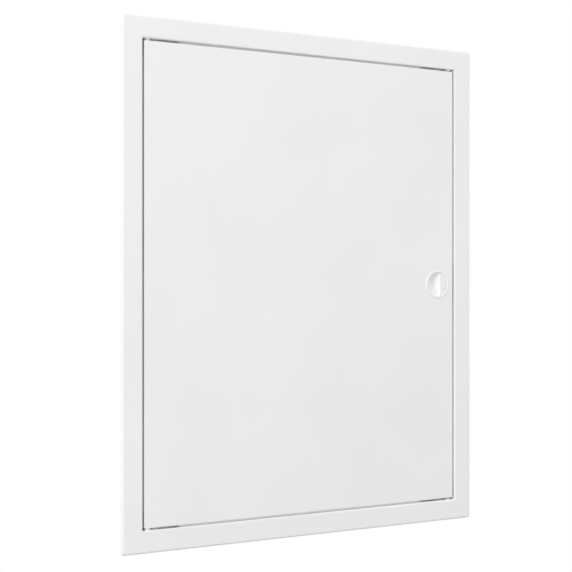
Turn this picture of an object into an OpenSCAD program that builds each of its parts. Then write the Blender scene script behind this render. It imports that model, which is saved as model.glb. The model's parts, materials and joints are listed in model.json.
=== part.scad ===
// Hinged access panel: folded-steel surround, lift-out door leaf and quarter-turn finger latch.
// Units are millimetres. The panel stands upright: X to the right, Y into the wall, Z up.
// Each piece is drawn lying face up and then stood upright, so local z is the way to the viewer.

/* [Opening] */
// Width of the cut-out the collar drops into
cut_w = 400; // [300:10:600]
// Height of the cut-out
cut_h = 500; // [400:10:700]
// Free space left round the collar in the cut-out
seat_gap = 2; // [1:0.5:4]

/* [Surround] */
// How far the flange covers the wall beyond the cut-out
cover = 20; // [14:1:30]
// Sheet thickness of the surround and the door leaf
sheet = 1; // [0.8:0.1:1.5]
// Depth of the flange from its face to the wall
flange_d = 3; // [2.6:0.1:5]
// Outer bend radius round the flange
edge_r = 2.5; // [2:0.1:2.6]
// Bend radius where the flange turns into the collar
inner_r = 1.5; // [1.2:0.1:2]
// Radius of the flange corners seen from the front
corner_r = 2.2; // [1:0.1:2.2]
// Depth of the collar behind the wall face
collar_d = 35; // [32:1:60]

/* [Door leaf] */
// Gap all round between the leaf and the collar
door_gap = 2; // [1.5:0.1:3]
// How far the leaf face sits behind the flange face
recess = 1; // [1:0.1:2.6]
// Depth of the folded leaf
leaf_d = 6; // [6:0.1:8]
// Radius of the leaf's front edges
leaf_r = 1.2; // [0.8:0.1:1.4]
// Width of the return fold at the back of the leaf
return_w = 10; // [8:1:14]
// Clearance between the closed leaf and its stops
stop_gap = 0.3; // [0.2:0.1:0.8]
// Distance of the corner stops from the collar's corners
stop_in = 19.6; // [19:0.2:30]
// Length of each corner stop
stop_l = 24.4; // [16:0.2:40]
// Half the distance between the two stiffeners
stiff_y = 118; // [80:2:150]
// Width of each stiffener over its two feet
stiff_w = 46; // [36:2:60]
// Width of each stiffener foot
foot_w = 11; // [8:1:12]
// Depth of the stiffeners
hat_h = 7; // [4:0.5:9]

/* [Hinge] */
// Distance of the hinge axis from the collar wall
axis_in = 6.8; // [6.6:0.1:9]
// Distance of the hinge axis behind the leaf face
axis_back = 3.8; // [3.6:0.1:4]
// Hinge pin diameter
pin_d = 4; // [3.8:0.1:4.2]
// Radial running clearance of the pins
run_fit = 0.05; // [0.02:0.01:0.1]
// Diameter of the bush flange seen in the gap
bush_flange_d = 6.4; // [6:0.1:6.4]
// Travel of the spring-loaded upper pin
pin_travel = 6; // [5:0.5:7]
// Spring wire diameter
wire_d = 0.5; // [0.4:0.05:0.5]
// Number of turns in the pin spring
turns = 11; // [8:1:14]
// Distance between the two ears that hold the spring
ear_span = 30; // [26:1:40]

/* [Latch] */
// Distance of the latch centre from the free edge of the leaf
latch_in = 22; // [22:0.5:26]
// Outside diameter of the raised latch ring
ring_d = 32; // [31:0.5:34]
// Height of the ring above the leaf face
ring_h = 0.8; // [0.5:0.1:1.2]
// Diameter of the turning disc
knob_d = 28; // [27:0.5:28]
// Radius of the finger scoop at the leaf face
scoop_r = 13; // [12:0.1:13]
// Depth of the finger scoop
scoop_d = 5.5; // [4:0.1:6.5]
// Offset of the flat scoop wall from the latch centre
chord_x = 3.9; // [2:0.1:6]
// Slope of the flat scoop wall from the leaf face
wall_a = 54; // [40:1:80]
// Reach of the latch tongue from the latch centre
tongue_l = 21; // [20:0.5:23]
// Tongue width
tongue_w = 12; // [10:0.5:14]
// Gap between the tongue and the keeper
tongue_gap = 0.3; // [0.2:0.1:0.6]

/* [Fixing holes] */
// Screw hole diameter in the collar
fix_d = 5; // [4:0.5:6]
// Distance of the screw holes behind the wall face
fix_y = 22; // [18:1:30]
// Spacing of the two holes in each upright
fix_v = 300; // [200:10:360]
// Spacing of the two holes in the top and bottom rails
fix_h = 200; // [140:10:280]

/* [Hidden] */
eps = 0.02;
$fn = 48;
fr_w = cut_w + 2 * cover;
fr_h = cut_h + 2 * cover;
col_w = cut_w - 2 * seat_gap;
col_h = cut_h - 2 * seat_gap;
in_w = col_w - 2 * sheet;
in_h = col_h - 2 * sheet;
band = (fr_w - in_w) / 2;
leaf_w = in_w - 2 * door_gap;
leaf_h = in_h - 2 * door_gap;
leaf_z = flange_d - recess;
skin_z = leaf_z - sheet;
leaf_back = leaf_z - leaf_d;
axis_x = -in_w / 2 + axis_in;
axis_z = leaf_z - axis_back;
pin_r = pin_d / 2;
bore_r = pin_r + run_fit;
stop_z = leaf_back - stop_gap;
ledge_w = 10;
stop_leg = 13;
bend_r = 1.2 * sheet;
bush_r = 2.75;
bush_flange_r = bush_flange_d / 2;
bush_flange_t = door_gap / 2;
bush_out = 1.7;
snap_h = 0.25;
pin_tip = in_h / 2 + sheet + bush_out - 0.2;
tip_c = 0.6;
leaf_top = leaf_h / 2;
ear_t = 1;
ear_in = 14;
ear_top = leaf_top - ear_in;
clip_t = 0.8;
coil_gap = 0.15;
ear_low = ear_top - ear_span;
clip_y = ear_top - ear_t - clip_t;
tail_bend = 5;
tail_gap = 14;
tail_y = ear_low - ear_t - tail_gap;
tail_l = 7;
notch_low = tail_y - pin_travel - tail_gap;
low_ear_in = 16;
ear_low_b = -leaf_top + low_ear_in;
low_notch = low_ear_in + 24;
ear_r = axis_back - sheet - 0.1;
bracket_x = axis_x + pin_r + 2;
bracket_t = 1;
bracket_w = 13;
slit_w = 0.6;
latch_x = leaf_w / 2 - latch_in;
ring_r = ring_d / 2;
knob_r = knob_d / 2;
knob_fit = 0.05;
body_r = ring_r - 1;
knob_floor = 1.8;
knob_back = leaf_z - scoop_d - knob_floor;
shoulder_t = 1.4;
body_back = knob_back - shoulder_t - 0.1;
shoulder_r = 12;
ball_r = (scoop_r * scoop_r + scoop_d * scoop_d) / (2 * scoop_d);
ball_z = leaf_z + ball_r - scoop_d;
boss_w = 8;
boss_fit = 0.05;
tongue_t = 2;
keeper_t = 1.5;
tongue_front = body_back - 0.5;
tongue_back = tongue_front - tongue_t;
boss_back = tongue_back + 0.1;
tongue_eye = 9;
tongue_corner = 3;
lead_w = 2.5;
lead_h = 0.8;
keeper_back = tongue_front + tongue_gap;
keeper_front = keeper_back + keeper_t;
keeper_lip = 9;
keeper_h = 40;
keeper_foot = 8;
keeper_corner = 3;
washer_t = 0.8;
washer_r = 6.5;
screw_r = 2;
screw_head_r = 3.7;
screw_head_h = 2.3;
screw_tip = leaf_z - scoop_d - knob_floor / 2;
nut_af = 35;
nut_t = 4.5;
latch_notch = nut_af / cos(30) + 12;
lug_r0 = 12.3;
lug_r1 = 13.4;
lug_half = 8;
slot_play = 2;
hat_t = 0.8;
hat_lean = 3;
hat_crown = stiff_w - 2 * foot_w - 2 * hat_lean;
hat_l = leaf_w - 2 * return_w - 4;
swing_r = sqrt(pow(axis_in - door_gap, 2) + pow(leaf_d - axis_back, 2));
cleat_t = 1.5;
cleat_l = stop_in - 0.6;
cleat_d = 14;
cleat_front = axis_z - swing_r - 0.6;
cleat_back = cleat_front - cleat_d;
cleat_mid = (cleat_front - cleat_t + cleat_back) / 2;
web_w = 14.2;
web_corner = 4;
rivet_at = cleat_l - 6;
rivet_r = 1.6;
rivet_head_r = 3.2;
rivet_head_h = 1.2;
rivet_tail_r = 2.5;
rivet_tail_h = 1;
rivet_fit = 0.02;
keeper_rivet_y = 12;

// Stands a piece that is drawn face up
module stand() {
    rotate([90, 0, 0]) children();
}

// Extrudes a profile drawn in y and z along x
module along_x(len) {
    rotate([90, 0, 90]) linear_extrude(len, center = true) children();
}

// Extrudes a profile drawn in x and z along y
module along_y(len) {
    rotate([90, 0, 0]) linear_extrude(len, center = true) children();
}

// Quarter-round waste for a corner at the origin whose material lies at negative u and v
module corner_waste(r) {
    difference() {
        translate([-r, -r]) square([r + 1, r + 1]);
        translate([-r, -r]) circle(r);
    }
}

// Folded section of the surround: u runs inward from the outer edge, v toward the viewer
module surround_section() {
    difference() {
        union() {
            square([sheet, flange_d]);
            translate([0, flange_d - sheet]) square([band, sheet]);
            translate([band - sheet, -collar_d]) square([sheet, collar_d + flange_d]);
            difference() {
                translate([sheet / 2, flange_d - edge_r]) square([edge_r - sheet / 2, edge_r - sheet / 2]);
                translate([edge_r, flange_d - edge_r]) circle(edge_r - sheet);
            }
        }
        translate([0, flange_d]) mirror([1, 0]) corner_waste(edge_r);
        translate([band, flange_d]) corner_waste(inner_r);
    }
}

// Keeps the length of section between two mitres on the top side
module mitred(w, h) {
    reach = band + 4;
    intersection() {
        children();
        translate([0, 0, -collar_d - 1]) linear_extrude(collar_d + flange_d + 2)
            polygon([[-w / 2, h / 2], [w / 2, h / 2],
                [w / 2 - reach, h / 2 - reach], [-w / 2 + reach, h / 2 - reach]]);
    }
}

// One side of the surround, lying along the top of a w by h frame
module side(w, h) {
    difference() {
        mitred(w, h) translate([0, h / 2, 0]) along_x(w + 2) mirror([1, 0]) surround_section();
        for (s = [-1, 1]) translate([s * w / 2, h / 2, -1]) mirror([s < 0 ? 1 : 0, 0, 0])
            linear_extrude(flange_d + 2) corner_waste(corner_r);
    }
}

// Round hole through the collar on the top side
module collar_hole(x, z, d, h) {
    translate([x, h / 2 - band - 1, z]) rotate([-90, 0, 0]) cylinder(d = d, h = sheet + 2);
}

module rail() {
    difference() {
        side(fr_w, fr_h);
        for (s = [-1, 1]) {
            collar_hole(s * axis_x, axis_z, 2 * (bush_r + run_fit), fr_h);
            collar_hole(s * fix_h / 2, -fix_y, fix_d, fr_h);
            collar_hole(s * (in_w / 2 - rivet_at), cleat_mid, 2 * (rivet_r + rivet_fit), fr_h);
        }
    }
}

module upright(latched) {
    difference() {
        side(fr_h, fr_w);
        for (s = [-1, 1]) {
            collar_hole(s * fix_v / 2, -fix_y, fix_d, fr_w);
            collar_hole(s * (in_h / 2 - rivet_at), cleat_mid, 2 * (rivet_r + rivet_fit), fr_w);
            if (latched) collar_hole(s * keeper_rivet_y, -fix_y, 2 * (rivet_r + rivet_fit), fr_w);
        }
    }
}

module rail_top() {
    color("white") stand() rail();
}

module rail_bottom() {
    color("white") stand() mirror([0, 1, 0]) rail();
}

module stile_hinge() {
    color("white") stand() rotate([0, 0, 90]) upright(false);
}

module stile_latch() {
    color("white") stand() rotate([0, 0, -90]) upright(true);
}

// Angle riveted into the top right corner of the collar, with a web across the corner behind the leaf
module cleat() {
    difference() {
        union() {
            translate([in_w / 2 - cleat_l, in_h / 2 - cleat_t, cleat_back])
                cube([cleat_l, cleat_t, cleat_d]);
            translate([in_w / 2 - cleat_t, in_h / 2 - cleat_l, cleat_back])
                cube([cleat_t, cleat_l, cleat_d]);
            translate([in_w / 2, in_h / 2, cleat_front - cleat_t]) linear_extrude(cleat_t) difference() {
                translate([-web_w, -web_w]) square(web_w);
                translate([-web_w, -web_w]) mirror([1, 0]) mirror([0, 1]) corner_waste(web_corner);
            }
        }
        translate([in_w / 2 - rivet_at, in_h / 2 - cleat_t - 1, cleat_mid]) rotate([-90, 0, 0])
            cylinder(r = rivet_r + rivet_fit, h = cleat_t + 2);
        translate([in_w / 2 - cleat_t - 1, in_h / 2 - rivet_at, cleat_mid]) rotate([0, 90, 0])
            cylinder(r = rivet_r + rivet_fit, h = cleat_t + 2);
    }
}

module cleat_top_left() {
    color("silver") stand() mirror([1, 0, 0]) cleat();
}

module cleat_top_right() {
    color("silver") stand() cleat();
}

module cleat_bottom_left() {
    color("silver") stand() mirror([0, 1, 0]) mirror([1, 0, 0]) cleat();
}

module cleat_bottom_right() {
    color("silver") stand() mirror([0, 1, 0]) cleat();
}

// Domed blind rivet: head at z = 0 facing down, grip upward
module rivet(grip) {
    dome = (rivet_head_r * rivet_head_r + rivet_head_h * rivet_head_h) / (2 * rivet_head_h);
    intersection() {
        translate([0, 0, dome - rivet_head_h]) sphere(dome);
        translate([0, 0, -rivet_head_h - 1]) cylinder(r = rivet_head_r + 1, h = rivet_head_h + 1);
    }
    cylinder(r = rivet_r, h = grip + rivet_tail_h);
    translate([0, 0, grip]) cylinder(r = rivet_tail_r, h = rivet_tail_h);
}

module cleat_rivets() {
    color("gainsboro") stand() for (m = [0, 1], k = [0, 1]) mirror([0, k, 0]) mirror([m, 0, 0]) {
        translate([in_w / 2 - rivet_at, in_h / 2 - cleat_t, cleat_mid]) rotate([-90, 0, 0])
            rivet(cleat_t + sheet);
        translate([in_w / 2 - cleat_t, in_h / 2 - rivet_at, cleat_mid]) rotate([0, 90, 0])
            rivet(cleat_t + sheet);
    }
}

// Two short bent angles on the top side, one near each corner, that the closed leaf rests against
module corner_stops() {
    for (s = [-1, 1]) translate([s * (in_w / 2 - stop_in - stop_l / 2), in_h / 2, stop_z])
        along_x(stop_l) difference() {
            union() {
                translate([-sheet, -stop_leg]) square([sheet, stop_leg]);
                translate([-ledge_w, -sheet]) square([ledge_w, sheet]);
            }
            corner_waste(bend_r);
        }
}

module stop_top() {
    color("white") stand() corner_stops();
}

module stop_bottom() {
    color("white") stand() mirror([0, 1, 0]) corner_stops();
}

// Flanged snap-in bush in the top side of the collar
module bush(x) {
    seat = in_h / 2;
    back = seat + sheet + run_fit;
    tip = seat + sheet + bush_out;
    translate([x, 0, axis_z]) rotate([-90, 0, 0]) rotate_extrude() polygon([
        [bore_r, seat - bush_flange_t], [bush_flange_r, seat - bush_flange_t], [bush_flange_r, seat],
        [bush_r, seat], [bush_r, back], [bush_r + snap_h, back + snap_h], [bush_r - snap_h, tip],
        [bore_r, tip]]);
}

module bush_top() {
    color("ivory") stand() bush(axis_x);
}

module bush_bottom() {
    color("ivory") stand() mirror([0, 1, 0]) bush(axis_x);
}

module spare_bushes() {
    color("ivory") stand() for (k = [0, 1]) mirror([0, k, 0]) bush(-axis_x);
}

module keeper() {
    color("silver") stand() difference() {
        along_y(keeper_h) difference() {
            union() {
                translate([in_w / 2 - keeper_t, -fix_y - keeper_foot])
                    square([keeper_t, keeper_front + fix_y + keeper_foot]);
                translate([in_w / 2 - keeper_lip, keeper_back]) square([keeper_lip, keeper_t]);
            }
            translate([in_w / 2, keeper_front]) corner_waste(1.2 * keeper_t);
        }
        for (s = [-1, 1]) {
            translate([in_w / 2 - keeper_lip, s * keeper_h / 2, keeper_back - 1])
                mirror([1, 0, 0]) mirror([0, s < 0 ? 1 : 0, 0])
                linear_extrude(keeper_t + 2) corner_waste(keeper_corner);
            translate([in_w / 2 - keeper_t - 1, s * keeper_rivet_y, -fix_y]) rotate([0, 90, 0])
                cylinder(r = rivet_r + rivet_fit, h = keeper_t + 2);
        }
    }
}

module keeper_rivets() {
    color("gainsboro") stand() for (s = [-1, 1])
        translate([in_w / 2 - keeper_t, s * keeper_rivet_y, -fix_y]) rotate([0, 90, 0])
            rivet(keeper_t + sheet);
}

// Front-edge rounded section across a leaf of width w
module leaf_section(w) {
    difference() {
        translate([-w / 2, leaf_back]) square([w, leaf_d]);
        for (s = [-1, 1]) translate([s * w / 2, leaf_z]) mirror([s < 0 ? 1 : 0, 0]) corner_waste(leaf_r);
    }
}

module leaf() {
    color("white") stand() difference() {
        intersection() {
            along_y(leaf_h) leaf_section(leaf_w);
            along_x(leaf_w) leaf_section(leaf_h);
        }
        for (sx = [-1, 1], sy = [-1, 1]) translate([sx * leaf_w / 2, sy * leaf_h / 2, leaf_back - 1])
            mirror([sx < 0 ? 1 : 0, 0, 0]) mirror([0, sy < 0 ? 1 : 0, 0])
            linear_extrude(leaf_d + 2) corner_waste(leaf_r);
        translate([-leaf_w / 2 + sheet, -leaf_h / 2 + sheet, leaf_back + sheet])
            cube([leaf_w - 2 * sheet, leaf_h - 2 * sheet, leaf_d - 2 * sheet]);
        translate([-leaf_w / 2 + return_w, -leaf_h / 2 + return_w, leaf_back - 1])
            cube([leaf_w - 2 * return_w, leaf_h - 2 * return_w, sheet + 2]);
        translate([-leaf_w / 2 + sheet, notch_low, leaf_back - 1])
            cube([return_w, leaf_top - sheet - notch_low, sheet + 2]);
        translate([-leaf_w / 2 + sheet, -leaf_top + sheet, leaf_back - 1])
            cube([return_w, low_notch, sheet + 2]);
        translate([leaf_w / 2 - return_w - 1, -latch_notch / 2, leaf_back - 1])
            cube([return_w + 1 - sheet, latch_notch, sheet + 2]);
        for (sx = [-1, 1], sy = [-1, 1]) translate([sx * leaf_w / 2, sy * leaf_h / 2, leaf_back - 1])
            rotate([0, 0, atan2(-sy, -sx)]) translate([2 * leaf_r, -slit_w / 2, 0])
            cube([sqrt(2) * return_w, slit_w, sheet + 2]);
        translate([latch_x, 0, skin_z - 1]) cylinder(r = body_r + knob_fit, h = sheet + 3, $fn = 96);
        for (y = [leaf_top - sheet - 1, -leaf_top - 1]) translate([axis_x, y, axis_z]) rotate([-90, 0, 0])
            cylinder(r = bore_r, h = sheet + 2);
    }
}

// Same outline points on the other side of the middle, in reverse order
function flipped(points) = [for (i = [len(points) - 1 : -1 : 0]) [-points[i].x, points[i].y]];

// Top-hat stiffener welded across the back of the skin
module stiffener() {
    crown = hat_crown / 2;
    inner = [[stiff_w / 2, 0], [crown + hat_lean, 0], [crown, hat_h - hat_t]];
    outer = [[crown + hat_t, hat_h], [crown + hat_lean + hat_t, hat_t], [stiff_w / 2, hat_t]];
    along_x(hat_l) translate([0, skin_z]) mirror([0, 1])
        polygon(concat(inner, flipped(inner), flipped(outer), outer));
}

module stiffener_top() {
    color("silver") stand() translate([0, stiff_y, 0]) stiffener();
}

module stiffener_bottom() {
    color("silver") stand() translate([0, -stiff_y, 0]) stiffener();
}

// Welded bracket with two round-ended ears on the pin, from y0 up to y1
module pin_bracket(y0, y1) {
    depth = skin_z - axis_z + ear_r;
    difference() {
        union() {
            translate([bracket_x, y0, skin_z - bracket_t]) cube([bracket_w, y1 - y0, bracket_t]);
            translate([bracket_x, y0, skin_z - depth]) cube([bracket_t, y1 - y0, depth]);
            for (y = [y0, y1 - ear_t]) translate([axis_x, y + ear_t / 2, axis_z]) along_y(ear_t) {
                circle(ear_r);
                translate([0, -ear_r]) square([bracket_x + bracket_t - axis_x, 2 * ear_r]);
            }
        }
        translate([axis_x, y0 - 1, axis_z]) rotate([-90, 0, 0]) cylinder(r = bore_r, h = y1 - y0 + 2);
    }
}

module bracket_top() {
    color("silver") stand() pin_bracket(ear_low - ear_t, ear_top);
}

module bracket_bottom() {
    color("silver") stand() pin_bracket(-leaf_top + sheet + 0.5, ear_low_b);
}

module pin_bottom() {
    seat = -in_h / 2 + bush_flange_t;
    shoulder = -leaf_top;
    collar_r = pin_r + 0.6;
    collar_t = 1.2;
    color("silver") stand() translate([axis_x, 0, axis_z]) rotate([-90, 0, 0]) rotate_extrude() polygon([
        [0, -pin_tip], [pin_r - tip_c, -pin_tip], [pin_r, -pin_tip + tip_c], [pin_r, seat],
        [bush_flange_r, seat], [bush_flange_r, shoulder], [pin_r, shoulder], [pin_r, ear_low_b],
        [collar_r, ear_low_b], [collar_r, ear_low_b + collar_t], [pin_r, ear_low_b + collar_t],
        [pin_r, ear_low_b + 2 * collar_t], [0, ear_low_b + 2 * collar_t]]);
}

// Helical wire for the upper pin, closed at both ends
function coil_point(i, n, y0, y1, r) = [
    axis_x + r * cos(360 * turns * i / n),
    y0 + (y1 - y0) * i / n,
    axis_z + r * sin(360 * turns * i / n)];

module coil(y0, y1, r, n, m) {
    rise = (y1 - y0) / (turns * 2 * PI * r);
    tilt = atan(rise);
    points = [for (i = [0 : n]) for (j = [0 : m - 1])
        let (a = 360 * turns * i / n, b = 360 * j / m, p = coil_point(i, n, y0, y1, r))
        p + wire_d / 2 * [
            cos(b) * cos(a) + sin(b) * sin(tilt) * sin(a),
            sin(b) * cos(tilt),
            cos(b) * sin(a) - sin(b) * sin(tilt) * cos(a)]];
    sides = [for (i = [0 : n - 1]) for (j = [0 : m - 1])
        [i * m + j, i * m + (j + 1) % m, (i + 1) * m + (j + 1) % m, (i + 1) * m + j]];
    caps = [[for (j = [0 : m - 1]) m - 1 - j], [for (j = [0 : m - 1]) n * m + j]];
    polyhedron(points, concat(sides, caps));
}

module pin_spring() {
    end = wire_d / 2 + run_fit;
    color("gray") stand() coil(ear_low + end, clip_y - end, pin_r + coil_gap + wire_d / 2, turns * 18, 6);
}

module pin_top() {
    color("silver") stand() translate([axis_x, 0, axis_z]) union() {
        translate([0, tail_y, 0]) rotate([-90, 0, 0]) cylinder(r = pin_r, h = pin_tip - tip_c - tail_y);
        translate([0, pin_tip - tip_c, 0]) rotate([-90, 0, 0])
            cylinder(r1 = pin_r, r2 = pin_r - tip_c, h = tip_c);
        translate([0, tail_y, -tail_bend]) rotate([0, -90, 0]) rotate_extrude(angle = -90)
            translate([tail_bend, 0]) circle(pin_r);
        translate([0, tail_y - tail_bend, -tail_bend - tail_l]) cylinder(r = pin_r, h = tail_l);
    }
}

module pin_clip() {
    color("gray") stand() translate([axis_x, clip_y, axis_z]) rotate([-90, 0, 0]) difference() {
        cylinder(r = pin_r + 0.75, h = clip_t);
        translate([0, 0, -1]) cylinder(r = pin_r, h = clip_t + 2);
    }
}

// Fixed ring and barrel that the disc turns in
module latch_housing() {
    top_r = (ring_r - knob_r - knob_fit) / 2;
    color("white") stand() translate([latch_x, 0, 0]) difference() {
        rotate_extrude($fn = 96) {
            translate([knob_r + knob_fit, body_back])
                square([body_r - knob_r - knob_fit, leaf_z - body_back]);
            translate([shoulder_r, body_back]) square([body_r - shoulder_r, shoulder_t]);
            intersection() {
                translate([knob_r + knob_fit, leaf_z]) square([2 * top_r, ring_h]);
                translate([knob_r + knob_fit + top_r, leaf_z + ring_h - top_r]) circle(top_r);
            }
        }
        translate([0, 0, body_back - 1]) rotate([0, 0, -lug_half - slot_play])
            rotate_extrude(angle = 90 + 2 * lug_half + 2 * slot_play, $fn = 96)
            translate([shoulder_r - 1, 0]) square([lug_r1 + 0.2 - shoulder_r + 1, shoulder_t + 1 + eps]);
    }
}

module latch_nut() {
    color("white") stand() translate([latch_x, 0, skin_z - nut_t]) difference() {
        intersection() {
            cylinder(d = nut_af / cos(30), h = nut_t, $fn = 6);
            cylinder(r1 = nut_af / 2, r2 = nut_af / 2 + 2 * nut_t, h = nut_t, $fn = 96);
        }
        translate([0, 0, -1]) cylinder(r = body_r + 0.02, h = nut_t + 2, $fn = 96);
    }
}

// Turning disc with its finger scoop, stop lug and square boss
module latch_knob() {
    reach = 4 * knob_r;
    color("white") stand() translate([latch_x, 0, 0]) difference() {
        union() {
            translate([0, 0, knob_back]) cylinder(r = knob_r, h = leaf_z - knob_back, $fn = 96);
            translate([-boss_w / 2, -boss_w / 2, boss_back])
                cube([boss_w, boss_w, knob_back + 1 - boss_back]);
            translate([0, 0, body_back + 0.2]) rotate([0, 0, 90 - lug_half])
                rotate_extrude(angle = 2 * lug_half, $fn = 96)
                translate([lug_r0, 0]) square([lug_r1 - lug_r0, knob_back - body_back]);
        }
        intersection() {
            translate([0, 0, ball_z]) sphere(ball_r, $fn = 96);
            translate([chord_x, 0, leaf_z]) rotate([0, 90 - wall_a, 0])
                translate([-reach, -reach / 2, -reach / 2]) cube(reach);
        }
        translate([0, 0, boss_back - 1]) cylinder(r = screw_r + 0.02, h = screw_tip + 0.1 - boss_back + 1);
    }
}

// Tongue that turns behind the keeper, bevelled where it leads in
module latch_tongue() {
    edge = tongue_w / 2;
    color("silver") stand() translate([latch_x, 0, tongue_back]) difference() {
        linear_extrude(tongue_t) difference() {
            union() {
                circle(tongue_eye);
                translate([-edge, 0]) square([tongue_w, tongue_l]);
            }
            for (s = [-1, 1]) translate([s * edge, tongue_l]) mirror([s < 0 ? 1 : 0, 0])
                corner_waste(tongue_corner);
        }
        translate([0, (tongue_eye + tongue_l) / 2 + 1, 0]) along_y(tongue_l - tongue_eye + 2)
            polygon([[edge - lead_w, tongue_t + eps], [edge + 1, tongue_t + eps],
                [edge + 1, tongue_t - lead_h]]);
        translate([-boss_w / 2 - boss_fit, -boss_w / 2 - boss_fit, -1])
            cube([boss_w + 2 * boss_fit, boss_w + 2 * boss_fit, tongue_t + 2]);
    }
}

module tongue_washer() {
    color("silver") stand() translate([latch_x, 0, tongue_back - washer_t]) difference() {
        cylinder(r = washer_r, h = washer_t);
        translate([0, 0, -1]) cylinder(r = screw_r + 0.2, h = washer_t + 2);
    }
}

module tongue_screw() {
    head_back = tongue_back - washer_t - screw_head_h;
    dome = 7;
    color("silver") stand() translate([latch_x, 0, 0]) difference() {
        union() {
            intersection() {
                translate([0, 0, head_back]) cylinder(r = screw_head_r, h = screw_head_h);
                translate([0, 0, head_back + dome]) sphere(dome);
            }
            translate([0, 0, head_back + 1]) cylinder(r = screw_r, h = screw_tip - head_back - 1);
        }
        for (a = [0, 90]) rotate([0, 0, a]) translate([-0.45, -2, head_back - 1]) cube([0.9, 4, 2.4]);
    }
}

rail_top();
rail_bottom();
stile_hinge();
stile_latch();
cleat_top_left();
cleat_top_right();
cleat_bottom_left();
cleat_bottom_right();
cleat_rivets();
stop_top();
stop_bottom();
bush_top();
bush_bottom();
spare_bushes();
keeper();
keeper_rivets();
leaf();
stiffener_top();
stiffener_bottom();
bracket_top();
bracket_bottom();
pin_bottom();
pin_spring();
latch_housing();
latch_nut();
pin_top();
pin_clip();
latch_knob();
latch_tongue();
tongue_washer();
tongue_screw();
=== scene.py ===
import json
import math
import bmesh
import bpy
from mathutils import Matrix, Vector


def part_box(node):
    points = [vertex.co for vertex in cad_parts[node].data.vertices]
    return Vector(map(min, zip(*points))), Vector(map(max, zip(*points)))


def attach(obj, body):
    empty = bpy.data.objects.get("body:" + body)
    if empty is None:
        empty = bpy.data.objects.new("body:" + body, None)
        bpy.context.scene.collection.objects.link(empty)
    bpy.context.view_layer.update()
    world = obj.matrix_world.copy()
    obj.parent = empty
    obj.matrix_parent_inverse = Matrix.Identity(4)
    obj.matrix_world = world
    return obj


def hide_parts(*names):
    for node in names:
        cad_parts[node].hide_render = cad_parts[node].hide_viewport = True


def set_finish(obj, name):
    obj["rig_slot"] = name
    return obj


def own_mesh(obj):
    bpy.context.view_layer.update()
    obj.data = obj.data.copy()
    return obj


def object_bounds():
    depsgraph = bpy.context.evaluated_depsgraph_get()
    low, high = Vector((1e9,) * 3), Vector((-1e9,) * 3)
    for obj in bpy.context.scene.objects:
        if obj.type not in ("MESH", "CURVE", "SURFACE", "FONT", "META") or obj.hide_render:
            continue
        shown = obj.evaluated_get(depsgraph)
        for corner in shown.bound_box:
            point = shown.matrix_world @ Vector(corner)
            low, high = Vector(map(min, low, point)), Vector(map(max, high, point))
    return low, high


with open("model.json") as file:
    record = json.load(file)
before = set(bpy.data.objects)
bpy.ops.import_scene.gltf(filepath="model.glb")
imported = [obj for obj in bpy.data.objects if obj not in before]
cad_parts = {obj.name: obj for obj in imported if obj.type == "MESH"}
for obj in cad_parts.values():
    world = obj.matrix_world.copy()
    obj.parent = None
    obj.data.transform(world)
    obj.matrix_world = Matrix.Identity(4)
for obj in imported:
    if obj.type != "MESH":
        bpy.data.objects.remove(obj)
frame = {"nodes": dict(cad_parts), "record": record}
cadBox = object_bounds()
nodes = frame["nodes"]
record = frame["record"]
mounts = {mount["name"]: mount for mount in record["mounts"]}
scene = bpy.context.scene
mm = 0.001  # the record's mount sizes are in millimetres
print("frame loaded:", len(nodes), "nodes")

# the photograph's view: eye point, level direction, focal length and frame width in mm
view = {"eye": (-0.7759, -1.2350, -0.0016), "ahead": (0.51797, 0.85540, 0.0),
        "lens": 85.16, "frameWide": 36.0}


def addCamera():
    data = bpy.data.cameras.new("photoCamera")
    data.sensor_width = view["frameWide"]
    data.lens = view["lens"]
    camera = bpy.data.objects.new("photoCamera", data)
    scene.collection.objects.link(camera)
    camera.location = view["eye"]
    camera.rotation_mode = "QUATERNION"
    camera.rotation_quaternion = Vector(view["ahead"]).to_track_quat("-Z", "Y")
    scene.camera = camera


addCamera()
scene.view_settings.view_transform = "Standard"

# soft studio: a dome brighter above and in front, a broad key at the left, a low fill behind
studio = {
    "dome": 0.770,
    "domeLean": (0.05, -0.21, 0.27),
    "key": {"from": (-3.0, -1.5, 0.8), "aim": (0, 0, 0), "size": (2.4, 2.4),
            "watts": 49.0, "mirrored": True},
    "rear": {"from": (0, 1.5, -0.25), "aim": (0, 0, 0.12), "size": (1.0, 0.5),
             "watts": 5.0, "mirrored": False},
}


def seenDirectly(tree):
    # 1 where the camera, a mirror reflection or clear glass looks straight at it
    rays = tree.nodes.new("ShaderNodeLightPath")
    total = rays.outputs["Is Camera Ray"]
    for kind in ("Is Glossy Ray", "Is Transmission Ray"):
        either = tree.nodes.new("ShaderNodeMath")
        either.operation = "MAXIMUM"
        tree.links.new(total, either.inputs[0])
        tree.links.new(rays.outputs[kind], either.inputs[1])
        total = either.outputs[0]
    return total


def mixShaders(tree, share, first, second):
    mix = tree.nodes.new("ShaderNodeMixShader")
    for socket, source in zip(mix.inputs, (share, first, second)):
        tree.links.new(source, socket)
    return mix.outputs[0]


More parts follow.
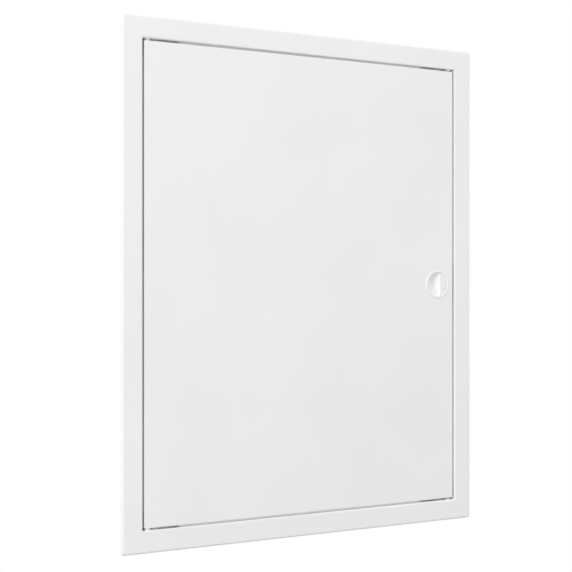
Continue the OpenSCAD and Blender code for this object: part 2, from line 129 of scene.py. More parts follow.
def addWorld():
    world = bpy.data.worlds.new("studioWhite")
    scene.world = world
    world.use_nodes = True
    tree = world.node_tree
    tree.nodes.clear()
    out = tree.nodes.new("ShaderNodeOutputWorld")
    seen = tree.nodes.new("ShaderNodeBackground")
    seen.inputs["Color"].default_value = (1, 1, 1, 1)
    lit = tree.nodes.new("ShaderNodeBackground")
    lit.inputs["Color"].default_value = (1, 1, 1, 1)
    place = tree.nodes.new("ShaderNodeTexCoord")
    lean = tree.nodes.new("ShaderNodeVectorMath")
    lean.operation = "DOT_PRODUCT"
    lean.inputs[1].default_value = studio["domeLean"]
    tree.links.new(place.outputs["Generated"], lean.inputs[0])
    level = tree.nodes.new("ShaderNodeMath")
    level.operation = "ADD"
    level.inputs[1].default_value = studio["dome"]
    tree.links.new(lean.outputs["Value"], level.inputs[0])
    tree.links.new(level.outputs[0], lit.inputs["Strength"])
    surface = mixShaders(tree, seenDirectly(tree), lit.outputs[0], seen.outputs[0])
    tree.links.new(surface, out.inputs["Surface"])


def addLamp(name):
    look = studio[name]
    data = bpy.data.lights.new(name + "Light", "AREA")
    data.shape = "RECTANGLE"
    data.size, data.size_y = look["size"]
    data.energy = look["watts"]
    lamp = bpy.data.objects.new(name + "Light", data)
    scene.collection.objects.link(lamp)
    lamp.location = look["from"]
    lamp.visible_camera = False
    lamp.visible_glossy = look["mirrored"]
    lamp.rotation_mode = "QUATERNION"
    lamp.rotation_quaternion = (Vector(look["aim"]) - Vector(look["from"])).to_track_quat("-Z", "Y")


addWorld()
for lampName in ("key", "rear"):
    addLamp(lampName)
print("studio lit")

# mesh tools used as by hand
sameSpot = 2e-5  # points closer than this are at one place
mergeGap = 1e-6  # doubles closer than this merge
sliverGap = 2e-6  # shorter edges are dissolved
seedPlane = 0.001  # small plane that a drawn profile starts from
roundSides = 96  # sides of the latch's round forms and of the floor


def freshStart():
    bpy.ops.object.select_all(action="DESELECT")


def selectOnly(piece):
    freshStart()
    piece.select_set(True)
    bpy.context.view_layer.objects.active = piece


def startEdit(piece):
    selectOnly(piece)
    bpy.ops.object.mode_set(mode="EDIT")


def endEdit():
    bpy.ops.object.mode_set(mode="OBJECT")


def pick(piece, kind, wanted):
    bpy.ops.mesh.select_mode(type=kind)
    bpy.ops.mesh.select_all(action="DESELECT")
    mesh = bmesh.from_edit_mesh(piece.data)
    mesh.normal_update()
    for part in {"VERT": mesh.verts, "EDGE": mesh.edges, "FACE": mesh.faces}[kind]:
        if wanted(part):
            part.select_set(True)
    mesh.select_flush_mode()
    bmesh.update_edit_mesh(piece.data)


def pickAll():
    bpy.ops.mesh.select_all(action="SELECT")


def mergeDoubles(gap=mergeGap):
    pickAll()
    bpy.ops.mesh.remove_doubles(threshold=gap)


def faceOutwards():
    pickAll()
    bpy.ops.mesh.normals_make_consistent(inside=False)


def near(a, b):
    return abs(a - b) < sameSpot


def applyPlace(piece):
    selectOnly(piece)
    bpy.ops.object.transform_apply(location=True, rotation=True, scale=True)


def applyModifier(piece, kind, **settings):
    modifier = piece.modifiers.new(kind.lower(), kind)
    for key, value in settings.items():
        setattr(modifier, key, value)
    selectOnly(piece)
    bpy.ops.object.modifier_apply(modifier=modifier.name)


def combine(piece, other, how):
    applyModifier(piece, "BOOLEAN", operation=how, solver="EXACT", object=other)
    bpy.data.objects.remove(other, do_unlink=True)


def smoothByAngle(piece, degrees):
    selectOnly(piece)
    bpy.ops.object.shade_smooth_by_angle(angle=math.radians(degrees))


def smoothFolded(piece, degrees):
    smoothByAngle(piece, degrees)
    applyModifier(piece, "WEIGHTED_NORMAL", keep_sharp=True)  # wide flats stay flat beside their bends


def clearSlivers(piece):
    startEdit(piece)
    pickAll()
    bpy.ops.mesh.dissolve_degenerate(threshold=sliverGap)
    endEdit()


def addBlock(low, high):
    freshStart()
    middle = [(a + b) / 2 for a, b in zip(low, high)]
    bpy.ops.mesh.primitive_cube_add(size=1, location=middle)
    block = bpy.context.object
    block.scale = [b - a for a, b in zip(low, high)]
    applyPlace(block)
    return block


def addRod(centre, along, radius, length, sides=48):
    freshStart()
    turn = Vector(along).to_track_quat("Z", "Y").to_euler()
    bpy.ops.mesh.primitive_cylinder_add(vertices=sides, radius=radius, depth=length,
                                        location=centre, rotation=turn)
    rod = bpy.context.object
    applyPlace(rod)
    return rod


def cutAway(piece, cutters):
    freshStart()
    for cutter in cutters:
        cutter.select_set(True)
    bpy.context.view_layer.objects.active = cutters[0]
    if len(cutters) > 1:
        bpy.ops.object.join()
    combine(piece, bpy.context.view_layer.objects.active, "DIFFERENCE")


def drawProfile(name, points):
    # a chain of edges, pulled out vertex by vertex
    freshStart()
    bpy.ops.mesh.primitive_plane_add(size=seedPlane, location=points[0])
    piece = bpy.context.object
    piece.name = name
    applyPlace(piece)
    startEdit(piece)
    bpy.ops.mesh.select_mode(type="VERT")
    pickAll()
    bpy.ops.mesh.merge(type="CENTER")
    for a, b in zip(points, points[1:]):
        step = tuple(Vector(b) - Vector(a))
        bpy.ops.mesh.extrude_region_move(TRANSFORM_OT_translate={"value": step})
    mergeDoubles()
    endEdit()
    return piece


def middleOf(name):
    low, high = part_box(name)
    return [(a + b) / 2 for a, b in zip(low, high)]


def bodyOf(name):
    bodies = record["behaviour"]["bodies"]
    return next(body for body, members in bodies.items() if name in members)


def slotOf(name):
    return next(part["material_slot"] for part in record["subparts"] if part["node"] == name)


def settle(piece, name, body, slot, stands):
    piece.name = name
    piece.data.name = name
    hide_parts(*stands)
    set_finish(piece, slot)
    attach(piece, body)


# folded sheet: a section in distance in from the outer edge and depth, swept round four mitred corners
def bendArc(middle, radius, start, end, steps=6):
    turns = [math.radians(start + (end - start) * k / steps) for k in range(steps + 1)]
    return [(middle[0] + radius * math.cos(t), middle[1] - radius * math.sin(t)) for t in turns]


def mitredSweep(name, section, wide, tall):
    # the section stands on one corner's mitre and is pulled from corner to corner
    piece = drawProfile(name, [(x - wide, y, tall - x) for x, y in section])
    startEdit(piece)
    pickAll()
    for mirrored in ((-1, 1, 1), (1, 1, -1)) * 2:
        bpy.ops.mesh.extrude_region_move()
        bpy.ops.transform.resize(value=mirrored, center_override=(0, 0, 0))
    mergeDoubles()
    endEdit()
    return piece


def roundMitres(piece, path, wide, tall, radius, steps=6):
    # corner edges that run along this stretch of the section
    def onPath(point):
        inX, inZ = wide - abs(point.x), tall - abs(point.z)
        return any(near(inX, x) and near(inZ, x) and near(point.y, y) for x, y in path)

    def wanted(edge):
        a, b = (v.co for v in edge.verts)
        return a.x * b.x > 0 and a.z * b.z > 0 and onPath(a) and onPath(b)

    pick(piece, "EDGE", wanted)
    bpy.ops.mesh.bevel(offset=radius, segments=steps, affect="EDGES")


def outerBend(path, bend):
    return [p for p in path if p[0] < bend + sameSpot]


# surround: one welded frame, in place of the four mitred rails
surroundShape = {"sheet": 0.001, "lip": 0.003, "edgeBend": 0.0024, "innerBend": 0.0021,
                 "cornerRound": 0.0028, "drill": 0.006, "rivetIn": 0.013, "rivetHole": 0.00162,
                 "rivetSides": 24, "bushHole": 0.0028, "smooth": 40}
bushRails = {"bush_top": (1,), "bush_bottom": (-1,), "spare_bushes": (-1, 1)}  # 1 is the top rail
screwRows = ("hinge_side_screws", "latch_side_screws", "top_screws", "bottom_screws")


def surroundSection(band, front, back):
    shape = surroundShape
    sheet, outBend, inBend = shape["sheet"], shape["edgeBend"], shape["innerBend"]
    lipEnd = front + shape["lip"]
    outMiddle, inMiddle = (outBend, front + outBend), (band - inBend, front + inBend)
    outside = [(0, lipEnd)] + bendArc(outMiddle, outBend, 180, 90)
    outside += bendArc(inMiddle, inBend, 90, 0) + [(band, back)]
    inside = [(band - sheet, back)] + bendArc(inMiddle, inBend - sheet, 0, 90)
    inside += bendArc(outMiddle, outBend - sheet, 90, 180) + [(sheet, lipEnd)]
    return outside, inside


def screwDrills():
    drills = []
    for name in screwRows:
        mount = mounts[name]
        dims = mount["dims"]
        upright = "spacing_y_mm" in dims
        half = (dims["spacing_y_mm"] if upright else dims["spacing_x_mm"]) * mm / 2
        for side in (-1, 1):
            at = Vector(mount["pos_m"]) + Vector((0, 0, side * half) if upright else (side * half, 0, 0))
            drills.append(addRod(at, mount["axis"], dims["hole_r_mm"] * mm, surroundShape["drill"]))
    return drills


def seatDrills(inWide, inTall):
    # holes for the hinge bushes and for the corner angles' rivets
    shape = surroundShape
    mid, deep = shape["sheet"] / 2, shape["drill"]
    drills = []
    for name, rails in bushRails.items():
        x, y, _ = middleOf(name)
        for rail in rails:
            drills.append(addRod((x, y, rail * (inTall + mid)), (0, 0, 1), shape["bushHole"], deep))
    rivetY = middleOf("cleat_rivets")[1]
    for sx in (-1, 1):
        for sz in (-1, 1):
            onRail = (sx * (inWide - shape["rivetIn"]), rivetY, sz * (inTall + mid))
            onStile = (sx * (inWide + mid), rivetY, sz * (inTall - shape["rivetIn"]))
            for at, along in ((onRail, (0, 0, 1)), (onStile, (1, 0, 0))):
                drills.append(addRod(at, along, shape["rivetHole"], deep, shape["rivetSides"]))
    return drills


def makeSurround():
    shape = surroundShape
    low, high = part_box("stile_latch")
    railLow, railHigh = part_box("rail_top")
    wide, tall = high.x, railHigh.z
    outside, inside = surroundSection(wide - low.x, low.y, high.y)
    piece = mitredSweep("surroundFrame", outside + inside + outside[:1], wide, tall)
    startEdit(piece)
    faceOutwards()
    inRound = shape["cornerRound"] - shape["sheet"]
    for path, radius in ((outside, shape["cornerRound"]), (inside, inRound)):
        roundMitres(piece, outerBend(path, shape["edgeBend"]), wide, tall, radius)
    endEdit()
    cutAway(piece, screwDrills() + seatDrills(low.x, railLow.z))
    smoothFolded(piece, shape["smooth"])
    rails = ("rail_top", "rail_bottom", "stile_hinge", "stile_latch")
    settle(piece, "surroundFrame", "surround", "white_coat", rails)
    return piece


# door leaf: folded pan with return folds, notched for the pins and the latch
leafShape = {"sheet": 0.001, "bend": 0.0009, "returnWide": 0.010, "skinMargin": 0.016,
             "drill": 0.006, "pinHole": 0.00205, "pinSides": 32, "latchHole": 0.01505,
             "pinNotch": 0.078, "lowNotch": 0.040, "latchNotch": 0.0524,
             "slit": 0.0006, "slitIn": 0.0024, "slitRun": 0.015, "slitDeep": 0.005, "smooth": 40}


def leafSection(front, rear):
    shape = leafShape
    sheet, bend, margin = shape["sheet"], shape["bend"], shape["skinMargin"]
    reach = shape["returnWide"] + sheet
    outside = [(margin, front)] + bendArc((bend, front + bend), bend, 90, 180)
    outside += bendArc((bend, rear - bend), bend, 180, 270) + [(reach, rear)]
    inFront, inRear = front + sheet, rear - sheet
    inside = [(reach, inRear), (sheet, inRear), (sheet, inFront), (margin, inFront)]
    return outside, inside


def latchCentre():
    x, _, z = middleOf("latch_housing")
    return x, z


def leafNotches(low, high):
    # gaps in the return folds beside the pins and the latch, and the hole for the latch
    shape = leafShape
    sheet, reach = shape["sheet"], shape["returnWide"] + shape["sheet"]
    rear = (high.y - 2 * sheet, high.y + sheet)
    leftFold, rightFold = (low.x + sheet, low.x + reach), (high.x - reach, high.x - sheet)
    latchX, latchZ = latchCentre()
    half = shape["latchNotch"] / 2
    notches = (
        (leftFold, high.z - sheet - shape["pinNotch"], high.z - sheet),
        (leftFold, low.z + sheet, low.z + sheet + shape["lowNotch"]),
        (rightFold, latchZ - half, latchZ + half),
    )
    cutters = [addBlock((fold[0], rear[0], foot), (fold[1], rear[1], top)) for fold, foot, top in notches]
    latchAt = (latchX, low.y, latchZ)
    cutters.append(addRod(latchAt, (0, 1, 0), shape["latchHole"], shape["drill"], roundSides))
    return cutters


def mitreSlit(corner, inward):
    # thin saw cut along the diagonal where two return folds meet
    shape = leafShape
    freshStart()
    inward = inward.normalized()
    middle = corner + inward * (shape["slitIn"] + shape["slitRun"] / 2)
    turn = -math.atan2(inward.z, inward.x)
    bpy.ops.mesh.primitive_cube_add(size=1, location=middle, rotation=(0, turn, 0))
    cutter = bpy.context.object
    cutter.scale = (shape["slitRun"], shape["slitDeep"], shape["slit"])
    applyPlace(cutter)
    return cutter


def makeLeaf():
    shape = leafShape
    low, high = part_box("leaf")
    outside, inside = leafSection(low.y, high.y)
    piece = mitredSweep("doorLeaf", outside + inside, high.x, high.z)
    startEdit(piece)
    for _, depth in (outside[0], inside[-1]):  # the skin's two faces inside the folds
        pick(piece, "EDGE", lambda e: e.is_boundary and all(near(v.co.y, depth) for v in e.verts))
        bpy.ops.mesh.edge_face_add()
    faceOutwards()
    roundMitres(piece, outerBend(outside, shape["bend"]), high.x, high.z, shape["bend"])
    endEdit()
    cutAway(piece, leafNotches(low, high))
    pinX, pinY, _ = middleOf("pin_bottom")
    cutters = []
    for z in (low.z, high.z):
        pinAt = (pinX, pinY, z)
        cutters.append(addRod(pinAt, (0, 0, 1), shape["pinHole"], shape["drill"], shape["pinSides"]))
    for sz in (-1, 1):
        cutters.append(mitreSlit(Vector((high.x, high.y, sz * high.z)), Vector((-1, 0, -sz))))
    cutAway(piece, cutters)
    smoothFolded(piece, shape["smooth"])
    settle(piece, "doorLeaf", "door", "white_coat", ("leaf",))
    return piece


def spunProfile(name, points, steps, gap=mergeGap, wedge=None):
    # spun round the latch's axis: all round, or a filled outline through a wedge (sweep, turned back)
    x, z = latchCentre()
    sweep, turnBack = wedge or (2 * math.pi, 0)
    piece = drawProfile(name, points)
    startEdit(piece)
    pickAll()
    if wedge:
        bpy.ops.mesh.edge_face_add()
    bpy.ops.mesh.spin(steps=steps, angle=sweep, center=(x, 0, z), axis=(0, 1, 0))
    mergeDoubles(gap)
    faceOutwards()
    if wedge:
        bpy.ops.transform.rotate(value=-turnBack, orient_axis="Y", center_override=(x, 0, z))
    endEdit()
    return piece


# latch ring: turned housing with a raised ridge round the disc and a thread for the nut behind the skin
ringShape = {"ridgeOut": 0.016, "ridgeSteps": 12, "bore": 0.01405, "face": -0.002,
             "barrel": 0.015, "threadDeep": 0.00035, "pitch": 0.0012, "threadStop": 0.0016,
             "shoulder": 0.012, "shoulderThick": 0.0014, "slotOut": 0.0136, "slotSweep": 110,
             "slotTravel": 90, "slotSteps": 24, "slotPast": 0.001, "slotLead": 0.0001, "smooth": 35}


def ringOutline(crown, ledge, back):
    shape = ringShape
    face, bore, barrel = shape["face"], shape["bore"], shape["barrel"]
    pitch, root = shape["pitch"], shape["barrel"] - shape["threadDeep"]
    mid, half = (shape["ridgeOut"] + bore) / 2, (shape["ridgeOut"] - bore) / 2
    outline = []
    for k in range(shape["ridgeSteps"] + 1):
        turn = math.pi * k / shape["ridgeSteps"]
        outline.append((mid + half * math.cos(turn), face - (face - crown) * math.sin(turn)))
    outline += [(bore, ledge), (shape["shoulder"], ledge), (shape["shoulder"], back), (root, back)]
    y = back - pitch / 4
    while y > face + shape["threadStop"]:
        outline += [(barrel, y - pitch / 4), (root, y - pitch * 3 / 4)]
        y -= pitch
    return outline + [(barrel, y), (barrel, face), (shape["ridgeOut"], face)]


def slotCutter(x, z, ledge, back):
    # the quarter-turn slot in the shoulder, swept from the right to the top
    shape = ringShape
    inside, outside = shape["shoulder"] - shape["slotPast"], shape["slotOut"]
    fore, aft = ledge - shape["slotLead"], back + shape["slotPast"]
    corners = [(inside, fore), (outside, fore), (outside, aft), (inside, aft), (inside, fore)]
    spare = math.radians(shape["slotSweep"] - shape["slotTravel"]) / 2
    wedge = (math.radians(shape["slotSweep"]), spare)
    points = [(x + r, y, z) for r, y in corners]
    return spunProfile("slotCutter", points, shape["slotSteps"], wedge=wedge)


def makeLatchRing():
    shape = ringShape
    low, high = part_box("latch_housing")
    x, z = latchCentre()
    ledge = high.y - shape["shoulderThick"]
    points = [(x + r, y, z) for r, y in ringOutline(low.y, ledge, high.y)]
    piece = spunProfile("latchRing", points, roundSides)
    cutAway(piece, [slotCutter(x, z, ledge, high.y)])
    smoothByAngle(piece, shape["smooth"])
    settle(piece, "latchRing", "door", "white_plastic", ("latch_housing",))
    return piece


# latch disc: turning disc with a finger scoop whose right side is a flat sloping wall
discShape = {"radius": 0.014, "thick": 0.0073, "soften": 0.00035, "softenSteps": 3,
             "scoopRadius": 0.013, "scoopDeep": 0.0055, "scoopSteps": 20, "mouth": 0.001,
             "flare": 0.0005, "flareSteps": 6, "wallX": 0.0039, "wallSlope": 47, "wallRun": 0.012,
             "wallRight": 0.03, "wallHalf": 0.02, "wallLift": 1.5e-5, "boss": 0.008,
             "bossSoften": 0.0003, "sunk": 0.0001, "lugIn": 0.0123, "lugOut": 0.0134,
             "lugHigh": 0.0013, "lugHalf": 8, "lugSteps": 6, "smooth": 32}


def wallBlock(x, z, face):
    # what stays of the disc right of the scoop: a flat slope with a rounded upper edge
    shape = discShape
    slope, soft, steps = math.radians(shape["wallSlope"]), shape["flare"], shape["flareSteps"]
    start = shape["wallX"] + soft * math.tan(slope / 2)
    turns = [slope * k / steps for k in range(steps + 1)]
    outline = [(start - soft * math.sin(t), soft - soft * math.cos(t)) for t in turns]
    a, b = outline[-1]
    foot = (a - shape["wallRun"] * math.cos(slope), b + shape["wallRun"] * math.sin(slope))
    outline += [foot, (shape["wallRight"], foot[1]), (shape["wallRight"], 0), outline[0]]
    front, under = face - shape["wallLift"], z - shape["wallHalf"]
    block = drawProfile("wallBlock", [(x + a, front + b, under) for a, b in outline])
    startEdit(block)
    pickAll()
    bpy.ops.mesh.edge_face_add()
    tall = (0, 0, 2 * shape["wallHalf"])
    bpy.ops.mesh.extrude_region_move(TRANSFORM_OT_translate={"value": tall})
    faceOutwards()
    endEdit()
    return block


def scoopCutter(x, z, face):
    # spun bowl with a flared mouth, sawn off along the sloping wall
    shape = discShape
    deep, wide, flare = shape["scoopDeep"], shape["scoopRadius"], shape["flare"]
    steps, rimSteps = shape["scoopSteps"], shape["flareSteps"]
    ball = (wide ** 2 + deep ** 2) / (2 * deep)
    drop = ball - deep
    out = math.sqrt((ball + flare) ** 2 - (drop + flare) ** 2)
    lean = math.atan2(out, drop + flare)
    bowl = [lean * k / steps for k in range(steps + 1)]
    rim = [lean * (1 - k / rimSteps) for k in range(1, rimSteps + 1)]
    outline = [(ball * math.sin(t), ball * math.cos(t) - drop) for t in bowl]
    outline += [(out - flare * math.sin(t), flare - flare * math.cos(t)) for t in rim]
    outline += [(out, -shape["mouth"]), (0, -shape["mouth"])]
    points = [(x + r, face + y, z) for r, y in outline]
    cutter = spunProfile("scoopCutter", points, roundSides, sliverGap)
    cutAway(cutter, [wallBlock(x, z, face)])
    return cutter


def makeLug(x, z, back):
    shape = discShape
    inside, outside = shape["lugIn"], shape["lugOut"]
    fore, aft = back - shape["sunk"], back + shape["lugHigh"]
    corners = [(inside, fore), (outside, fore), (outside, aft), (inside, aft), (inside, fore)]
    half = math.radians(shape["lugHalf"])
    points = [(x, y, z + r) for r, y in corners]
    return spunProfile("stopLug", points, shape["lugSteps"], wedge=(2 * half, half))


def makeLatchDisc():
    shape = discShape
    low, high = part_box("latch_knob")
    x, z = latchCentre()
    face, back, half = low.y, low.y + shape["thick"], shape["boss"] / 2
    middle = (x, face + shape["thick"] / 2, z)
    piece = addRod(middle, (0, 1, 0), shape["radius"], shape["thick"], roundSides)
    startEdit(piece)
    pick(piece, "EDGE", lambda e: near(e.verts[0].co.y, e.verts[1].co.y))
    bpy.ops.mesh.bevel(offset=shape["soften"], segments=shape["softenSteps"], affect="EDGES")
    endEdit()
    cutAway(piece, [scoopCutter(x, z, face)])
    boss = addBlock((x - half, back - shape["sunk"], z - half), (x + half, high.y, z + half))
    applyModifier(boss, "BEVEL", width=shape["bossSoften"], segments=shape["softenSteps"])
    for part in (boss, makeLug(x, z, back)):
        combine(piece, part, "UNION")
    clearSlivers(piece)
    smoothByAngle(piece, shape["smooth"])
    settle(piece, "latchDisc", "latch", "white_plastic", ("latch_knob",))
    return piece


# latch nut: hexagon ring, its corners turned off at the back
nutShape = {"hexTurn": 30, "cornerRound": 0.0008, "cornerSteps": 3, "turnedFlare": 2, "turnedPast": 2e-5,
            "bore": 0.01502, "boreThrough": 3, "boreLead": 0.0004, "leadSteps": 2, "smooth": 30}


def makeLatchNut():
    shape = nutShape
    low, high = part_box("latch_nut")
    x, z = latchCentre()
    thick, flat = high.y - low.y, (high.z - low.z) / 2
    middle = (x, (low.y + high.y) / 2, z)
    freshStart()
    upright = (math.pi / 2, math.radians(shape["hexTurn"]), 0)
    bpy.ops.mesh.primitive_cylinder_add(vertices=6, radius=(high.x - low.x) / 2, depth=thick,
                                        location=middle, rotation=upright)
    piece = bpy.context.object
    applyPlace(piece)
    startEdit(piece)
    pick(piece, "EDGE", lambda e: abs(e.verts[0].co.y - e.verts[1].co.y) > thick / 2)
    bpy.ops.mesh.bevel(offset=shape["cornerRound"], segments=shape["cornerSteps"], affect="EDGES")
    endEdit()
    freshStart()
    wideEnd = flat + shape["turnedFlare"] * thick
    bpy.ops.mesh.primitive_cone_add(vertices=roundSides, radius1=flat, radius2=wideEnd,
                                    depth=thick + shape["turnedPast"], location=middle,
                                    rotation=(math.pi / 2, 0, 0))
    turned = bpy.context.object
    applyPlace(turned)
    combine(piece, turned, "INTERSECT")
    through = shape["boreThrough"] * thick
    cutAway(piece, [addRod(middle, (0, 1, 0), shape["bore"], through, roundSides)])

    def onBore(edge):
        a, b = (v.co for v in edge.verts)
        return near(a.y, b.y) and all(near(math.hypot(p.x - x, p.z - z), shape["bore"]) for p in (a, b))

    startEdit(piece)
    pick(piece, "EDGE", onBore)
    bpy.ops.mesh.bevel(offset=shape["boreLead"], segments=shape["leadSteps"], affect="EDGES")
    endEdit()
    clearSlivers(piece)
    smoothFolded(piece, shape["smooth"])
    settle(piece, "latchNut", bodyOf("latch_nut"), slotOf("latch_nut"), ("latch_nut",))
    return piece


# pin spring: round wire wound between the bracket's lower ear and the clip, shorter when the pin is drawn
springShape = {"wire": 0.0005, "turns": 11, "seatGap": 5e-05, "stepsPerTurn": 28, "wireSides": 14,
               "smooth": 60}


def makePinSpring():
    shape = springShape
    low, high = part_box("pin_spring")
    x, y, middle = middleOf("pin_spring")
    radius = shape["wire"] / 2
    freshStart()
    bpy.ops.mesh.primitive_circle_add(vertices=shape["wireSides"], radius=radius, fill_type="NOTHING",
                                      location=((high.x - low.x) / 2 - radius, 0, 0),
                                      rotation=(math.pi / 2, 0, 0))
    piece = bpy.context.object
    applyPlace(piece)
    piece.location = (x, y, low.z + radius)
    steps = shape["turns"] * shape["stepsPerTurn"]
    applyModifier(piece, "SCREW", axis="Z", angle=2 * math.pi * shape["turns"], iterations=1, steps=steps,
                  render_steps=steps, screw_offset=high.z - low.z - 2 * radius)
    applyPlace(piece)
    startEdit(piece)
    mergeDoubles()
    for side in (-1, 1):  # the wire's two ends
        pick(piece, "EDGE", lambda e: e.is_boundary and (e.verts[0].co.z - middle) * side > 0)
        bpy.ops.mesh.edge_face_add()
    faceOutwards()
    endEdit()
    smoothByAngle(piece, shape["smooth"])
    settle(piece, "pinSpringCoil", bodyOf("pin_spring"), slotOf("pin_spring"), ("pin_spring",))
    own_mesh(piece)
    return piece


# spot welds that hold the stiffeners' feet to the skin
weldShape = {"foot": 0.0008, "radius": 0.0027, "deep": 0.00022, "dish": 0.0012, "dishSteps": 4,
             "reach": 0.165, "count": 6, "fromEdge": 0.0055, "probe": 0.004, "sides": 32}


def weldDents(name):
    shape = weldShape
    low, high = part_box(name)
    floorY = low.y + shape["foot"] - shape["deep"]
    dents = []
    for z in (low.z + shape["fromEdge"], high.z - shape["fromEdge"]):
        for k in range(shape["count"]):
            at = (shape["reach"] * (2 * k / (shape["count"] - 1) - 1), floorY + shape["probe"] / 2, z)
            dent = addRod(at, (0, 1, 0), shape["radius"], shape["probe"], shape["sides"])
            startEdit(dent)
            pick(dent, "EDGE", lambda e: all(near(v.co.y, floorY) for v in e.verts))
            bpy.ops.mesh.bevel(offset=shape["dish"], segments=shape["dishSteps"], affect="EDGES")
            endEdit()
            dents.append(dent)
    return dents


# smaller metal pieces keep their CAD form, with edges broken this wide as after tumbling
softEdges = {
    "cleat_top_left": 0.0002, "cleat_top_right": 0.0002, "cleat_bottom_left": 0.0002,
    "cleat_bottom_right": 0.0002, "stop_top": 0.0002, "stop_bottom": 0.0002, "keeper": 0.0002,
    "stiffener_top": 0.00018, "stiffener_bottom": 0.00018, "bracket_top": 0.0002,
    "bracket_bottom": 0.0002, "latch_tongue": 0.00025, "tongue_washer": 0.00012,
}
# in degrees: flatter joints between faces go, sharper outer edges break
softening = {"flat": 0.6, "sharp": 35, "steps": 3, "smooth": 35}


def partName(node):
    first, *rest = node.split("_")
    return first + "".join(word.title() for word in rest) + "Part"


def softenedCopy(name):
    freshStart()
    piece = bpy.data.objects.new(partName(name), nodes[name].data.copy())
    scene.collection.objects.link(piece)
    startEdit(piece)
    pickAll()
    bpy.ops.mesh.customdata_custom_splitnormals_clear()
    mergeDoubles(sliverGap)
    bpy.ops.mesh.dissolve_limited(angle_limit=math.radians(softening["flat"]))
    sharp = math.radians(softening["sharp"])
    pick(piece, "EDGE", lambda e: e.is_convex and e.calc_face_angle() > sharp)
    bpy.ops.mesh.bevel(offset=softEdges[name], segments=softening["steps"], affect="EDGES",
                       clamp_overlap=False)
    endEdit()
    if name.startswith("stiffener"):
        cutAway(piece, weldDents(name))
    clearSlivers(piece)
    smoothFolded(piece, softening["smooth"])
    settle(piece, partName(name), bodyOf(name), slotOf(name), (name,))
    return piece


surround = makeSurround()
print("surround folded:", len(surround.data.polygons), "faces")
leaf = makeLeaf()
print("leaf folded:", len(leaf.data.polygons), "faces")
latchRing = makeLatchRing()
latchDisc = makeLatchDisc()
print("latch turned:", len(latchRing.data.polygons), len(latchDisc.data.polygons), "faces")
latchNut = makeLatchNut()
pinSpring = makePinSpring()
print("nut and spring made:", len(latchNut.data.polygons), len(pinSpring.data.polygons), "faces")
softPieces = [softenedCopy(name) for name in softEdges]
print("edges broken on", len(softPieces), "pieces")

# finishes: colour, roughness and a fine relief from noise on Object coordinates
noiseMiddle = (0.3, 0.7)  # where most values of a noise lie
noiseDetail = 3.0  # unless a look has its own


def newFinish(name):
    material = bpy.data.materials.new(name)
    material.use_nodes = True
    tree = material.node_tree
    shader = tree.nodes["Principled BSDF"]
    place = tree.nodes.new("ShaderNodeTexCoord")
    return material, tree, shader, place.outputs["Object"]


def addNoise(tree, place, scale, detail=noiseDetail, stretch=None):
    noise = tree.nodes.new("ShaderNodeTexNoise")
    noise.inputs["Scale"].default_value = scale
    noise.inputs["Detail"].default_value = detail
    if stretch:
        mapping = tree.nodes.new("ShaderNodeMapping")
        mapping.inputs["Scale"].default_value = stretch
        tree.links.new(place, mapping.inputs["Vector"])
        place = mapping.outputs["Vector"]
    tree.links.new(place, noise.inputs["Vector"])
    return noise.outputs["Fac"]


def addRange(tree, source, low, high, spread=noiseMiddle):
    change = tree.nodes.new("ShaderNodeMapRange")
    change.inputs["From Min"].default_value = spread[0]
    change.inputs["From Max"].default_value = spread[1]
    change.inputs["To Min"].default_value = low
    change.inputs["To Max"].default_value = high
    tree.links.new(source, change.inputs["Value"])
    return change.outputs["Result"]


def addRamp(tree, source, low, high, spread=noiseMiddle):
    ramp = tree.nodes.new("ShaderNodeValToRGB")
    for stop, position, colour in zip(ramp.color_ramp.elements, spread, (low, high)):
        stop.position = position
        stop.color = (*colour, 1)
    tree.links.new(source, ramp.inputs["Fac"])
    return ramp.outputs["Color"]


def addGrain(tree, shader, place, grain, stretch=None, under=None):
    # fine relief, given by the noise's scale and detail and the bump's strength and depth
    scale, detail, strength, depth = grain
    bump = tree.nodes.new("ShaderNodeBump")
    bump.inputs["Strength"].default_value = strength
    bump.inputs["Distance"].default_value = depth
    tree.links.new(addNoise(tree, place, scale, detail, stretch), bump.inputs["Height"])
    if under:
        tree.links.new(under, bump.inputs["Normal"])
    tree.links.new(bump.outputs["Normal"], shader.inputs["Normal"])
    return bump.outputs["Normal"]


# powder coat: faint cloudiness, orange peel and a finer grain; on the leaf, a grey that is painted shade
# on its rim in the gap round the door and grey primer on its back
coat = {"tint": ((0.845, 0.845, 0.845), (0.872, 0.872, 0.870)), "tintScale": 9.0, "cloudDetail": 4.0,
        # this grey is painted shade on the leaf's rim in the gap and grey primer on its back
        "rimShadeAndPrimer": ((0.40, 0.40, 0.405), (0.46, 0.46, 0.46)), "rimShadeAndPrimerScale": 24.0,
        "rimShadeFade": (-0.0014, -0.0004), "rough": (0.40, 0.52), "roughScale": 55.0,
        "peel": (620.0, 1.0, 0.10, 0.00012), "grain": (2600.0, 2.0, 0.05, 0.00004), "shine": 0.42}


